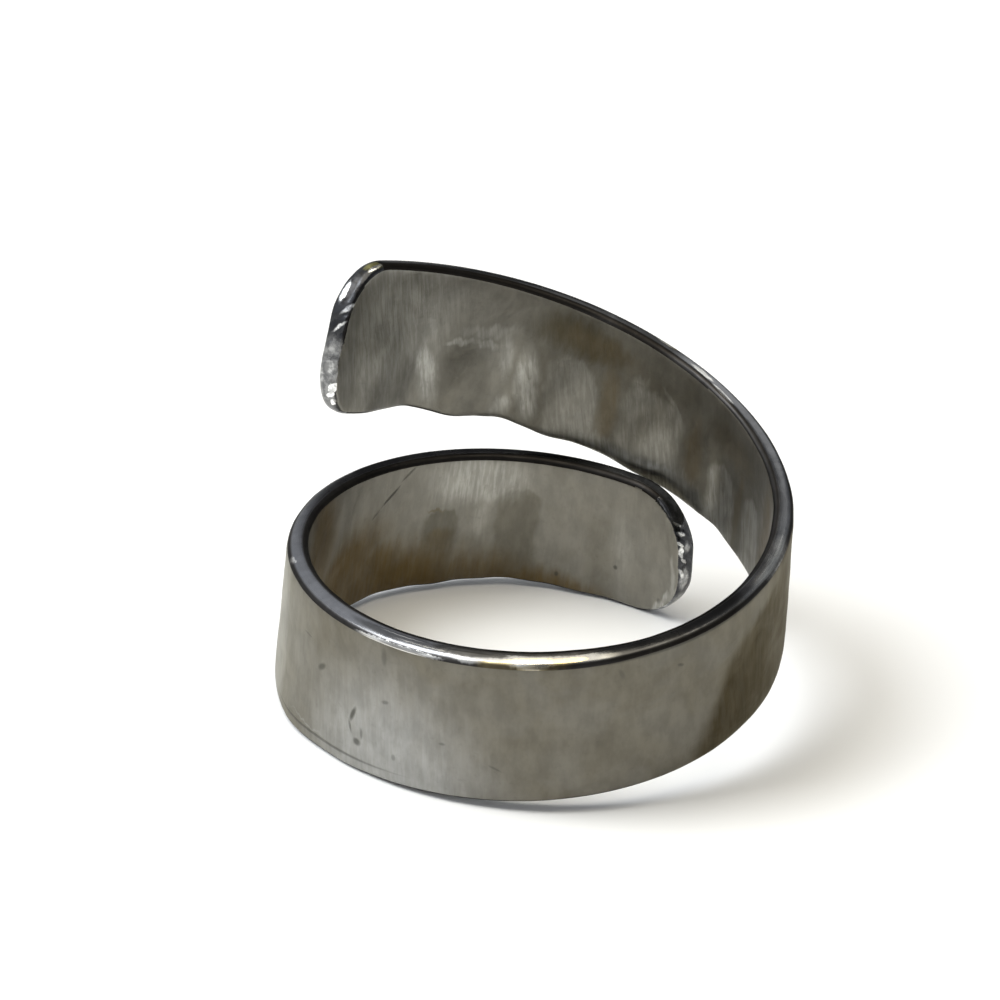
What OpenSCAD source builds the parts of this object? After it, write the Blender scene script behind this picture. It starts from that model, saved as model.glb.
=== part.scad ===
// An open wrap ring: one flat strip of metal, bent about one and a third times round.
// Millimetres, +Z up. The ring lies on its side as it would by itself, and the origin
// lies on that surface, under the middle of the ring's box.

/* [Strip] */
// Width of the strip
band_w = 6; // [4.5:0.1:7]
// Thickness of the strip
band_t = 0.8; // [0.6:0.05:0.95]
// Radius of the rounded long edges
edge_r = 0.26; // [0.1:0.02:0.28]

/* [Wrap] */
// Inside diameter of the ring
bore_d = 16.9; // [14:0.1:22]
// Angle round the ring from the low end of the strip to its high end
wrap_deg = 466.3; // [420:0.1:480]
// Rise of the strip's middle line from the low end to the high end
climb = 9.4; // [9:0.1:14]
// Direction of the low end, seen from above, from +X towards +Y
low_end_deg = 44.4; // [0:0.1:359]

/* [Ends] */
// Length over which the high end rounds off its upper edge
high_top_len = 1.8; // [1:0.1:3.8]
// Length over which the high end rounds off its lower edge
high_foot_len = 1.5; // [1:0.1:3.8]
// Length over which the low end rounds off both edges
low_len = 2.5; // [1:0.1:3.8]
// Radius of the rounding on the cut edge of both ends
cut_r = 0.14; // [0.05:0.01:0.24]

/* [Dents] */
// Depth of a full dent, pressed in from outside
dent_depth = 0.24; // [0:0.02:0.3]
// Width of a dent of width share 1, along the strip
dent_w = 2.4; // [1.6:0.1:3.2]
// Drop of the lower edge at a full dent
edge_drop = 0.08; // [0:0.01:0.2]

/* [Hidden] */

// The course of the strip, drawn by rows at equal steps round the ring. The first and
// the last row lie one step outside the strip, as a smooth curve needs them.
// Columns: step of the inner face outwards from the bore, as a share of band_t,
// rise of the middle line as a share of climb, and lean of the upper edge outwards in degrees.
course = [
    [-0.24, -0.03, -4.5],
    [-0.32, 0, -6.5],
    [-0.38, 0.02, -6.5],
    [-0.26, 0.05, -2],
    [-0.17, 0.095, -2],
    [0, 0.165, 1.5],
    [0.17, 0.25, 3],
    [0.3, 0.38, -3],
    [0.14, 0.55, -7.5],
    [0.22, 0.765, -4],
    [0.27, 1, 0.5],
    [0.27, 1.24, 3]
];
step_index = 0;
rise_index = 1;
lean_index = 2;

// The arched dents in the lower half of the wall, counted from the low end.
// Columns: place along the strip as a share of its length, width as a share of dent_w,
// height of the arch over the middle line as a share of band_w, and press as a share of
// dent_depth, where a minus sign is a dent pressed out from inside.
dents = [
    [0.066, 1.2, 0.05, 0.35],
    [0.108, 1, 0.25, -0.35],
    [0.15, 1, 0.12, 0.45],
    [0.188, 1.2, 0.2, -0.3],
    [0.345, 2.4, -0.2, -0.9],
    [0.754, 0.8, 0.3, -0.35],
    [0.806, 1.2, 0.12, 0.45],
    [0.855, 1, 0.1, 0.7],
    [0.88, 0.6, 0.1, -0.6],
    [0.908, 1.1, 0.05, 1],
    [0.935, 0.7, 0, -0.6],
    [0.965, 1.3, 0.15, 0.7]
];
place_index = 0;
width_index = 1;
arch_index = 2;
press_index = 3;

// Length of a strip section between two rings of points, and points round each corner
pitch = 0.07 * band_w;
corner_points = 4;
// Largest corner radius as a share of half the thickness, so that a flat face is left
corner_share = 0.9;
// Flats across each face, which carry the dents
face_steps = 5;
// Rings of points through each rounded tip
tip_rings = 12;
// Width of the straight cut left at the very end of a tip, as a share of band_w
cut_share = 0.15;
// Shortest step along the course that gives its direction, as a share of its length
nudge_share = 0.0005;

half_w = band_w / 2;
half_t = band_t / 2;
mid_r = bore_d / 2 + half_t;
tip_side = half_w * (1 - cut_share);
strip_len = norm([mid_r * wrap_deg * PI / 180, climb]);
spans = len(course) - 3;

// Value of one column of the course at share u of the strip's length
function along(u, col) =
    let (i = max(0, min(floor(u * spans), spans - 1)), f = u * spans - i)
    (course[i][col] * pow(1 - f, 3)
        + course[i + 1][col] * (3 * pow(f, 3) - 6 * pow(f, 2) + 4)
        + course[i + 2][col] * (-3 * pow(f, 3) + 3 * pow(f, 2) + 3 * f + 1)
        + course[i + 3][col] * pow(f, 3)) / 6;

function heading(u) = low_end_deg + wrap_deg * u;
function spoke(u) = [cos(heading(u)), sin(heading(u)), 0];
function unit(v) = v / norm(v);
// Point of the strip's middle line at share u
function middle(u) =
    spoke(u) * (mid_r + band_t * along(u, step_index)) + [0, 0, climb * along(u, rise_index)];

// The strip's own directions at share u: outwards through its wall, and up across it
function cross_frame(u) =
    let (
        way = unit(middle(u + nudge_share) - middle(u - nudge_share)),
        out = unit(spoke(u) - way * (spoke(u) * way)),
        up = cross(out, way),
        lean = along(u, lean_index)
    )
    [out * cos(lean) - up * sin(lean), up * cos(lean) + out * sin(lean)];

// How far an edge has drawn in at distance s from the end, where it is rounded off over
// the length reach and draws in by side altogether
function drawn_in(reach, side, s) = s >= reach ? 0 : side * (1 - sqrt(1 - pow(1 - s / reach, 2)));

// How much of a dent is felt at distance s along the strip and height a over its middle line
function dent_share(d, s, a) =
    let (
        reach = dent_w * d[width_index] / 2,
        x = (s - d[place_index] * strip_len) / reach,
        y = max(0, a - d[arch_index] * band_w + reach) / reach,
        far = min(1, norm([x, y]))
    )
    d[press_index] * pow(cos(90 * far), 2);
function dent_sum(s, a) = let (felt = [for (d = dents) dent_share(d, s, a)]) felt * [for (f = felt) 1];

// Outline of the strip cut across, from edge to edge, as [up, out] pairs:
// top and foot are its limits, h its half thickness and r its corner radius
function cut_outline(top, foot, h, r) =
    let (
        turns = [for (k = [0:corner_points - 1]) 90 * k / (corner_points - 1)],
        flat = [for (k = [1:face_steps - 1]) k / face_steps]
    )
    concat(
        [for (q = turns) [top - r + r * cos(q), h - r + r * sin(q)]],
        [for (f = flat) [top - r - f * (top - foot - 2 * r), h]],
        [for (q = turns) [foot + r - r * sin(q), h - r + r * cos(q)]],
        [for (q = turns) [foot + r - r * cos(q), -h + r - r * sin(q)]],
        [for (f = flat) [foot + r + f * (top - foot - 2 * r), -h]],
        [for (q = turns) [top - r + r * sin(q), -h + r - r * cos(q)]]
    );

// Ring of points round the strip at distance s from its low end
function ring_at(s) =
    let (
        u = s / strip_len,
        left = strip_len - s,
        low_in = drawn_in(low_len, tip_side, s),
        top = half_w - low_in - drawn_in(high_top_len, tip_side, left),
        foot = -half_w + low_in + drawn_in(high_foot_len, tip_side, left),
        h = half_t - drawn_in(cut_r, cut_r, min(s, left)),
        frame = cross_frame(u),
        place = middle(u)
    )
    [for (p = cut_outline(top, foot, h, min(edge_r, corner_share * h)))
        let (dent = dent_sum(s, p[0]))
        place
            + frame[1] * (p[0] - (p[0] < 0 ? edge_drop * dent * p[0] / foot : 0))
            + frame[0] * (p[1] - dent_depth * dent)];

// Distances of the rings of points from the low end, close together where a tip is rounded
tip_steps = [for (k = [0:tip_rings - 1]) 1 - cos(90 * k / tip_rings)];
high_len = max(high_top_len, high_foot_len);
plain_len = strip_len - low_len - high_len;
plain_count = ceil(plain_len / pitch);
stops = concat(
    low_len * tip_steps,
    [for (k = [0:plain_count]) low_len + plain_len * k / plain_count],
    [for (k = [tip_rings - 1:-1:0]) strip_len - high_len * tip_steps[k]]
);
rings = [for (s = stops) ring_at(s)];
skin = [for (r = rings) for (p = r) p];
ring_count = len(rings);
ring_size = len(rings[0]);

// The strip's balance point, and the points that may touch the surface under it
balance_steps = 60;
balance = [for (k = [0:balance_steps]) 1 / (balance_steps + 1)]
    * [for (k = [0:balance_steps]) middle(k / balance_steps)];
rim = [for (r = rings) for (k = [corner_points + face_steps - 1:3 * corner_points + face_steps - 2]) r[k]];

// The ring comes to rest on the slope of ground that brings its balance point lowest
function ground(slope) = unit([slope[0], slope[1], 1]);
function balance_height(slope) = let (up = ground(slope)) max([for (p = rim) (balance - p) * up]);
// The search tries slopes all round, in steps that shrink from the first to the last
first_share = 0.08;
last_share = 0.0004;
try_deg = 30;
function settle(slope, step) =
    step < last_share ? slope :
    let (
        tries = [for (a = [0:try_deg:360 - try_deg]) slope + step * [cos(a), sin(a)]],
        heights = [for (t = tries) balance_height(t)],
        low = min(heights),
        best = [for (k = [0:len(tries) - 1]) if (heights[k] == low) tries[k]][0]
    )
    low < balance_height(slope) ? settle(best, step) : settle(slope, step / 2);
upright = ground(settle([0, 0], first_share));

// Turns a point so that the slope of the ground becomes level
tip = cross(upright, [0, 0, 1]);
function levelled(p) = p + cross(tip, p) + cross(tip, cross(tip, p)) / (1 + upright[2]);
laid = [for (p = skin) levelled(p)];
low_corner = [for (k = [0:2]) min([for (p = laid) p[k]])];
high_corner = [for (k = [0:2]) max([for (p = laid) p[k]])];
foot_point = [(low_corner[0] + high_corner[0]) / 2, (low_corner[1] + high_corner[1]) / 2, low_corner[2]];

// Number of point k of ring i, where points go round and start again
function at(i, k) = i * ring_size + k % ring_size;
walls = [for (i = [0:ring_count - 2]) for (k = [0:ring_size - 1])
    each [[at(i, k), at(i, k + 1), at(i + 1, k)], [at(i, k + 1), at(i + 1, k + 1), at(i + 1, k)]]];
low_cap = [for (k = [ring_size - 1:-1:0]) at(0, k)];
high_cap = [for (k = [0:ring_size - 1]) at(ring_count - 1, k)];

module band() {
    color([0.56, 0.55, 0.52])
        translate(-foot_point)
            polyhedron(points = laid, faces = concat([low_cap], walls, [high_cap]));
}

band();
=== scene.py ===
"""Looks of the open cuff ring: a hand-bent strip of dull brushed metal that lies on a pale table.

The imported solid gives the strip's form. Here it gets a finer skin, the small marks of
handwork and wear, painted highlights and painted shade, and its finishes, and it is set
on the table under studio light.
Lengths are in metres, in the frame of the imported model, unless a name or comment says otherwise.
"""
import logging
import math
from dataclasses import dataclass, field
from enum import Enum

import bpy
import numpy as np
from mathutils import Matrix, Vector, noise


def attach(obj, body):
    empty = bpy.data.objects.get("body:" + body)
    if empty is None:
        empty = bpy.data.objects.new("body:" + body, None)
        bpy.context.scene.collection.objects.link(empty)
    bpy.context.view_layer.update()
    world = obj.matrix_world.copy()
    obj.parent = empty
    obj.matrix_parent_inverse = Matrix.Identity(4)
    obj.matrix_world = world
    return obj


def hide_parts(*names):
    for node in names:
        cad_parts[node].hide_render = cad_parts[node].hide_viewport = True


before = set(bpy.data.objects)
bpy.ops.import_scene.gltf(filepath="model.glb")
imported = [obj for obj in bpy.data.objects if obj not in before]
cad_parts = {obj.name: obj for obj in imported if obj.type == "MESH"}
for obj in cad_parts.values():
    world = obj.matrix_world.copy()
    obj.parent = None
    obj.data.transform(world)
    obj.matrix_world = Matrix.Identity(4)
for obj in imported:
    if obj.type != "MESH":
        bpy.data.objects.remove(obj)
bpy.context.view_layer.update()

LOG = logging.getLogger("ring")
MM = 0.001

# How far apart, in millimetres, the marks of two edges or two ends lie in their finish's plane
PLANE_STEP = 10.0
# The foot of a mark that has none, in millimetres under its middle
NO_FOOT = -100.0

Colour = tuple[float, float, float]
Point = tuple[float, float, float]
Directions = tuple[np.ndarray, np.ndarray, np.ndarray]
Socket = bpy.types.NodeSocket


class Side(Enum):
    """Which part of the strip's skin a face belongs to; the value is its material slot."""

    INSIDE = 0
    OUTSIDE = 1
    EDGE = 2
    END = 3


class Tip(Enum):
    """The two free ends of the strip."""

    LOW = "low end"
    HIGH = "raised end"


class Plane(Enum):
    """The two measures of the strip that lay out the marks of a finish."""

    FACE = "along and across"
    EDGE = "along and through"
    END = "through and across"


class MarkKind(Enum):
    """What a mark on the metal is; besides real discolouring, tints, wear and scratches, the kinds also
    paint highlights and shade.
    """

    TARNISH_AND_SHADE = "tarnish_and_shade"
    TINT_LIGHT_AND_SHADE = "tint_light_and_shade"
    WORN_AND_HIGHLIGHT = "worn_and_highlight"
    SCRATCH_AND_SHADE_LINE = "scratch"


def unit_rows(rows: np.ndarray) -> np.ndarray:
    """Returns the rows of vectors, each made one long."""
    return rows / np.maximum(np.linalg.norm(rows, axis=1, keepdims=True), 1e-12)


def eased(values: np.ndarray, low: float, high: float) -> np.ndarray:
    """Rises smoothly from 0 at low to 1 at high.

    Args:
        values: The values to ease.
        low: Where the rise starts.
        high: Where the rise ends; it may lie under low, for a fall.

    Returns:
        The eased share of each value.
    """
    part = np.clip((values - low) / (high - low), 0, 1)
    return part * part * (3 - 2 * part)


@dataclass(frozen=True)
class StripCourse:
    """The course of the strip round the finger hollow, as the solid has it.

    Attributes:
        width: Width of the strip.
        thickness: Thickness of the strip.
        bore: Inside diameter of the ring.
        wrap_deg: Angle round the ring from the low end to the raised end.
        climb: Rise of the middle line from the low end to the raised end.
        low_end_deg: Direction of the low end, seen from above.
        rows: The course at equal steps round the ring: step outwards as a share of the
            thickness, rise as a share of the climb, and lean of the upper edge in degrees.
        ground: The direction, in the strip's own frame, that is up once the ring lies at rest.
        foot: The point of the levelled strip that is the origin of the model.
        nudge: Share of the length over which the course's direction is measured.
        seam_deg: How far before the low end a bearing still counts to the first lap.
        search_rounds: How often a place along the strip is bettered when it is looked for.
    """

    width: float = 6 * MM
    thickness: float = 0.8 * MM
    bore: float = 16.9 * MM
    wrap_deg: float = 466.3
    climb: float = 9.4 * MM
    low_end_deg: float = 44.4
    rows: tuple[Point, ...] = (
        (-0.24, -0.03, -4.5),
        (-0.32, 0, -6.5),
        (-0.38, 0.02, -6.5),
        (-0.26, 0.05, -2),
        (-0.17, 0.095, -2),
        (0, 0.165, 1.5),
        (0.17, 0.25, 3),
        (0.3, 0.38, -3),
        (0.14, 0.55, -7.5),
        (0.22, 0.765, -4),
        (0.27, 1, 0.5),
        (0.27, 1.24, 3),
    )
    ground: Point = (-0.00356965, 0.0846497, 0.996404)
    foot: Point = (0.210981 * MM, -0.140006 * MM, -2.29905 * MM)
    nudge: float = 5e-4
    seam_deg: float = 20.0
    search_rounds: int = 5

    @property
    def middle_radius(self) -> float:
        """Radius of the strip's middle line, before it steps in or out."""
        return (self.bore + self.thickness) / 2

    @property
    def length(self) -> float:
        """Length of the strip along its middle line."""
        return math.hypot(self.middle_radius * math.radians(self.wrap_deg), self.climb)

    @property
    def mm_per_degree(self) -> float:
        """Millimetres along the strip for each degree round the ring."""
        return self.length / self.wrap_deg / MM

    def mm_along(self, turn: float) -> float:
        """Returns the distance along the strip, in millimetres, at a turn round the ring in degrees."""
        return (turn - self.low_end_deg) * self.mm_per_degree

    def turn_at(self, along: np.ndarray) -> np.ndarray:
        """Returns the turn round the ring, in degrees, at distances along the strip."""
        return self.low_end_deg + self.wrap_deg * along / self.length

    def levelling(self) -> np.ndarray:
        """Returns the rotation from the strip's own frame to the frame of the model."""
        up = Vector(self.ground).normalized()
        return np.array(up.rotation_difference(Vector((0, 0, 1))).to_matrix())

    def values(self, share: np.ndarray) -> np.ndarray:
        """Reads the course's rows.

        Args:
            share: Places along the strip, from 0 at the low end to 1 at the high end.

        Returns:
            Step outwards, rise and lean at each place.
        """
        rows = np.array(self.rows)
        spans = len(rows) - 3
        span = np.clip(np.floor(share * spans).astype(int), 0, spans - 1)
        part = (share * spans - span)[:, None]
        return (
            rows[span] * (1 - part) ** 3
            + rows[span + 1] * (3 * part**3 - 6 * part**2 + 4)
            + rows[span + 2] * (-3 * part**3 + 3 * part**2 + 3 * part + 1)
            + rows[span + 3] * part**3
        ) / 6

    def middle(self, share: np.ndarray) -> np.ndarray:
        """Gives points of the middle line, in the strip's own frame.

        Args:
            share: Places along the strip.

        Returns:
            The point at each place.
        """
        value = self.values(share)
        turn = np.radians(self.low_end_deg + self.wrap_deg * share)
        radius = self.middle_radius + self.thickness * value[:, 0]
        return np.stack([radius * np.cos(turn), radius * np.sin(turn), self.climb * value[:, 1]], 1)

    def directions(self, share: np.ndarray) -> Directions:
        """Gives the strip's own directions, in its own frame.

        Args:
            share: Places along the strip.

        Returns:
            The directions along it, out through it and up across it.
        """
        way = unit_rows(self.middle(share + self.nudge) - self.middle(share - self.nudge))
        turn = np.radians(self.low_end_deg + self.wrap_deg * share)
        spoke = np.stack([np.cos(turn), np.sin(turn), 0 * turn], 1)
        out = unit_rows(spoke - way * (spoke * way).sum(1, keepdims=True))
        up = np.cross(out, way)
        lean = np.radians(self.values(share)[:, 2:])
        return way, out * np.cos(lean) - up * np.sin(lean), up * np.cos(lean) + out * np.sin(lean)

    def on_lap(self, own: np.ndarray, lap: int) -> tuple[np.ndarray, Directions, np.ndarray]:
        """Finds where points lie on one lap of the strip.

        Args:
            own: Points in the strip's own frame.
            lap: The lap to look on, from 0.

        Returns:
            Each point's distances along, across and through the strip, the three directions
            there, and how far the point misses the strip.
        """
        bearing = np.degrees(np.arctan2(own[:, 1], own[:, 0])) - self.low_end_deg
        share = (np.mod(bearing + self.seam_deg, 360) - self.seam_deg + 360 * lap) / self.wrap_deg
        share = np.clip(share, -0.01, 1.01)
        for _ in range(self.search_rounds):
            way = self.directions(share)[0]
            step = ((own - self.middle(share)) * way).sum(1) / self.length
            share = np.clip(share + step, -0.02, 1.02)
        way, out, up = self.directions(share)
        gap = own - self.middle(share)
        past = (gap * way).sum(1)
        place = np.stack([share * self.length + past, (gap * up).sum(1), (gap * out).sum(1)], 1)
        over_edge = np.abs(place[:, 1]) - self.width / 2
        over_face = np.abs(place[:, 2]) - self.thickness / 2
        return place, (way, out, up), np.maximum(over_edge, over_face) + np.abs(past)

    def locate(self, points: np.ndarray) -> tuple[np.ndarray, Directions]:
        """Finds where points lie on the strip, on whichever lap is nearer.

        Args:
            points: Points in the frame of the model.

        Returns:
            For each point its distance along the strip, its height across it and its depth
            through it, and the three directions there, in the frame of the model.
        """
        levelling = self.levelling()
        own = (points + np.array(self.foot)) @ levelling
        place, directions, miss = self.on_lap(own, 0)
        next_place, next_directions, next_miss = self.on_lap(own, 1)
        nearer = (next_miss < miss)[:, None]
        place = np.where(nearer, next_place, place)
        chosen = (np.where(nearer, new, old) for old, new in zip(directions, next_directions))
        return place, tuple(direction @ levelling.T for direction in chosen)


def new_group(
    name: str, inputs: dict[str, tuple[str, object]], outputs: dict[str, str]
) -> tuple[bpy.types.NodeTree, bpy.types.Node, bpy.types.Node]:
    """Starts a shader node group.

    Args:
        name: The group's name.
        inputs: Each input's name with its socket type and value.
        outputs: Each output's name with its socket type.

    Returns:
        The group, its input node and its output node.
    """
    group = bpy.data.node_groups.new(name, "ShaderNodeTree")
    for key, (kind, value) in inputs.items():
        socket = group.interface.new_socket(name=key, in_out="INPUT", socket_type=kind)
        if value is not None:
            socket.default_value = value
    for key, kind in outputs.items():
        group.interface.new_socket(name=key, in_out="OUTPUT", socket_type=kind)
    return group, group.nodes.new("NodeGroupInput"), group.nodes.new("NodeGroupOutput")


class NodeNet:
    """A node tree under work, with short ways to place and join nodes."""

    def __init__(self, tree: bpy.types.NodeTree) -> None:
        """Keeps the tree."""
        self.tree = tree

    def node(self, kind: str, **settings: object) -> bpy.types.Node:
        """Places a node.

        Args:
            kind: The node's type, without its ShaderNode prefix.
            **settings: Properties of the node, and its inputs by name or by in0, in1 and so on.

        Returns:
            The node.
        """
        made = self.tree.nodes.new("ShaderNode" + kind)
        for key, value in settings.items():
            if hasattr(made, key):
                setattr(made, key, value)
            else:
                self.feed(self.socket(made, key), value)
        return made

    @staticmethod
    def socket(node: bpy.types.Node, key: str) -> Socket:
        """Finds an input of a node.

        Args:
            node: The node.
            key: The input's name, or in followed by its number.

        Returns:
            The input.
        """
        if key.startswith("in") and key[2:].isdigit():
            return node.inputs[int(key[2:])]
        return node.inputs[key]

    def feed(self, socket: Socket, value: object) -> None:
        """Links an output to a socket, or sets the socket's own value.

        Args:
            socket: The socket to feed.
            value: The output to link, or the value to set.
        """
        if isinstance(value, bpy.types.NodeSocket):
            self.tree.links.new(value, socket)
        else:
            socket.default_value = value

    def maths(self, operation: str, first: object, second: object = 0.0) -> Socket:
        """Joins two numbers.

        Args:
            operation: The Math node's operation.
            first: A socket or number.
            second: A socket or number.

        Returns:
            The result's socket.
        """
        made = self.tree.nodes.new("ShaderNodeMath")
        made.operation = operation
        self.feed(made.inputs[0], first)
        self.feed(made.inputs[1], second)
        return made.outputs[0]

    def plus(self, first: object, second: object) -> Socket:
        """Adds two numbers."""
        return self.maths("ADD", first, second)

    def minus(self, first: object, second: object) -> Socket:
        """Subtracts the second number from the first."""
        return self.maths("SUBTRACT", first, second)

    def times(self, first: object, second: object) -> Socket:
        """Multiplies two numbers."""
        return self.maths("MULTIPLY", first, second)

    def vectors(self, operation: str, first: object, second: object) -> Socket:
        """Joins two vectors by one operation of the Vector Math node."""
        return self.node("VectorMath", operation=operation, in0=first, in1=second).outputs[0]

    def parts(self, vector: object) -> bpy.types.NodeOutputs:
        """Returns the three numbers of a vector, by the names X, Y and Z."""
        return self.node("SeparateXYZ", Vector=vector).outputs

    def vector(self, x: object, y: object, z: object) -> Socket:
        """Makes a vector of three numbers."""
        return self.node("CombineXYZ", X=x, Y=y, Z=z).outputs[0]

    def blend(self, share: object, first: object, second: object, how: str = "MIX") -> Socket:
        """Mixes two colours.

        Args:
            share: How much of the second one, as a socket or number.
            first: A socket or colour.
            second: A socket or colour.
            how: The blend type.

        Returns:
            The mixed colour's socket.
        """
        made = self.tree.nodes.new("ShaderNodeMix")
        made.data_type, made.blend_type = "RGBA", how
        for socket, value in zip((made.inputs[0], made.inputs[6], made.inputs[7]), (share, first, second)):
            self.feed(socket, (*value, 1) if isinstance(value, tuple) else value)
        return made.outputs[2]

    def ramp(self, value: object, low: float, high: float, start: float = 0.0, end: float = 1.0) -> Socket:
        """Eases a number from one range to another.

        Args:
            value: The socket to read.
            low: Where the rise starts.
            high: Where the rise ends.
            start: The result under low.
            end: The result over high.

        Returns:
            The eased number's socket.
        """
        made = self.node("MapRange", interpolation_type="SMOOTHSTEP", in0=value)
        for socket, number in zip(made.inputs[1:5], (low, high, start, end)):
            self.feed(socket, number)
        return made.outputs[0]

    def stretched(self, vector: object, scale: Point) -> Socket:
        """Returns a vector scaled along each axis."""
        return self.node("Mapping", Vector=vector, Scale=scale).outputs[0]

    def speckle(self, vector: object, scale: object, detail: float = 2.0, rough: float = 0.5) -> Socket:
        """Returns smooth noise from 0 to 1 over a vector."""
        made = self.node("TexNoise", Vector=vector, Scale=scale, Detail=detail, Roughness=rough)
        return made.outputs["Fac"]

    def placed(self, group: bpy.types.NodeTree, **inputs: object) -> bpy.types.NodeOutputs:
        """Places a shared group.

        Args:
            group: The group.
            **inputs: Sockets or values for its inputs, by name.

        Returns:
            Its outputs, by name.
        """
        made = self.tree.nodes.new("ShaderNodeGroup")
        made.node_tree = group
        for key, value in inputs.items():
            self.feed(made.inputs[key], value)
        return made.outputs


class SharedEffects:
    """The node groups that the ring's finishes share."""

    def __init__(self) -> None:
        """Builds each group once."""
        self.strokes = self.build_strokes()
        self.mottle = self.build_mottle()
        self.ragged = self.build_ragged()
        self.mark = self.build_mark()

    @staticmethod
    def build_strokes() -> bpy.types.NodeTree:
        """Fine brushing in strokes of uneven strength, drawn out as the stretch tells.

        Returns:
            The group, which reads the strip's own measures in millimetres.
        """
        group, given, result = new_group(
            "brush_strokes",
            {
                "Place": ("NodeSocketVector", None),
                "Fineness": ("NodeSocketFloat", 9.0),
                "Stretch": ("NodeSocketVector", (1.0, 0.12, 1.0)),
            },
            {"Height": "NodeSocketFloat", "Tone": "NodeSocketFloat", "Lines": "NodeSocketFloat"},
        )
        net = NodeNet(group)
        place, fineness = given.outputs["Place"], given.outputs["Fineness"]
        lane = net.vectors("MULTIPLY", place, given.outputs["Stretch"])
        fine = net.speckle(lane, fineness, 3.0, 0.62)
        wide = net.speckle(lane, net.times(fineness, 0.28))
        both = net.plus(net.times(fine, 0.6), net.times(wide, 0.4))
        patches = net.ramp(net.speckle(place, 0.55), 0.35, 0.62)
        strength = net.minus(1.0, net.times(0.5, patches))
        centred = net.times(net.minus(both, 0.5), strength)
        net.feed(result.inputs["Height"], net.plus(centred, 0.5))
        net.feed(result.inputs["Tone"], net.plus(net.times(centred, 1.6), 0.5))
        net.feed(result.inputs["Lines"], net.ramp(fine, 0.4, 0.62))
        return group

    @staticmethod
    def build_mottle() -> bpy.types.NodeTree:
        """Cloudy unevenness of a metal face that has seen wear.

        Returns:
            The group, which gives masks of large clouds, smaller blotches and small flecks.
        """
        group, given, result = new_group(
            "worn_mottle",
            {"Place": ("NodeSocketVector", None)},
            {"Clouds": "NodeSocketFloat", "Blotches": "NodeSocketFloat", "Flecks": "NodeSocketFloat"},
        )
        net = NodeNet(group)
        place = given.outputs["Place"]
        clouds = net.node("TexNoise", Vector=place, Scale=0.5, Detail=3.0, Roughness=0.55, Distortion=0.6)
        blotches = net.speckle(net.stretched(place, (1.0, 0.5, 1.0)), 1.8, 3.0, 0.6)
        flecks = net.speckle(place, 4.5, 2.0, 0.6)
        net.feed(result.inputs["Clouds"], net.ramp(clouds.outputs["Fac"], 0.34, 0.66))
        net.feed(result.inputs["Blotches"], net.ramp(blotches, 0.3, 0.7))
        net.feed(result.inputs["Flecks"], net.ramp(flecks, 0.6, 0.74))
        return group

    @staticmethod
    def build_ragged() -> bpy.types.NodeTree:
        """Shifts places on the strip a little, so that marks get uneven outlines with upright strokes.

        Returns:
            The group, which gives the shifted place.
        """
        group, given, result = new_group(
            "ragged_place",
            {
                "Place": ("NodeSocketVector", None),
                "Strokes": ("NodeSocketFloat", 1.0),
                "Waves": ("NodeSocketFloat", 0.6),
                "Grain": ("NodeSocketFloat", 1.0),
            },
            {"Place": "NodeSocketVector"},
        )
        net = NodeNet(group)
        place, grain = given.outputs["Place"], given.outputs["Grain"]
        fine = net.speckle(net.stretched(place, (1.0, 0.1, 0.0)), net.times(grain, 3.0), 2.0, 0.6)
        stroke = net.vector(0.0, net.times(net.minus(fine, 0.5), given.outputs["Strokes"]), 0.0)
        level = net.stretched(place, (1.0, 1.0, 0.0))
        broad = net.node("TexNoise", Vector=level, Scale=net.times(grain, 0.7), Detail=2.0)
        centred = net.vectors("SUBTRACT", broad.outputs["Color"], (0.5, 0.5, 0.5))
        wave = net.node("VectorMath", operation="SCALE", in0=centred, Scale=given.outputs["Waves"])
        shift = net.vectors("ADD", wave.outputs[0], stroke)
        net.feed(result.inputs["Place"], net.vectors("ADD", place, shift))
        return group

    @staticmethod
    def build_mark() -> bpy.types.NodeTree:
        """A soft spot on the strip: round, or an arch that runs down to the strip's foot.

        Returns:
            The group, which gives the spot's strength.
        """
        numbers = {
            "Along": 0.0,
            "Across": 0.0,
            "Reach": 1.0,
            "Spread": 1.0,
            "Slant": 0.0,
            "Softness": 0.3,
            "Foot": NO_FOOT,
            "Strength": 1.0,
        }
        inputs = {name: ("NodeSocketFloat", value) for name, value in numbers.items()}
        inputs["Place"] = ("NodeSocketVector", None)
        group, given, result = new_group("soft_mark", inputs, {"Mask": "NodeSocketFloat"})
        net = NodeNet(group)
        take = given.outputs
        place = net.parts(take["Place"])
        rise = net.minus(place["Y"], take["Across"])
        run = net.minus(net.minus(place["X"], take["Along"]), net.times(rise, take["Slant"]))
        run = net.maths("DIVIDE", run, take["Reach"])
        rise = net.maths("DIVIDE", net.maths("MAXIMUM", rise, take["Foot"]), take["Spread"])
        far = net.maths("SQRT", net.plus(net.times(run, run), net.times(rise, rise)))
        fade = net.ramp(far, take["Softness"], 1.0, 1.0, 0.0)
        net.feed(result.inputs["Mask"], net.times(fade, take["Strength"]))
        return group


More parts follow.
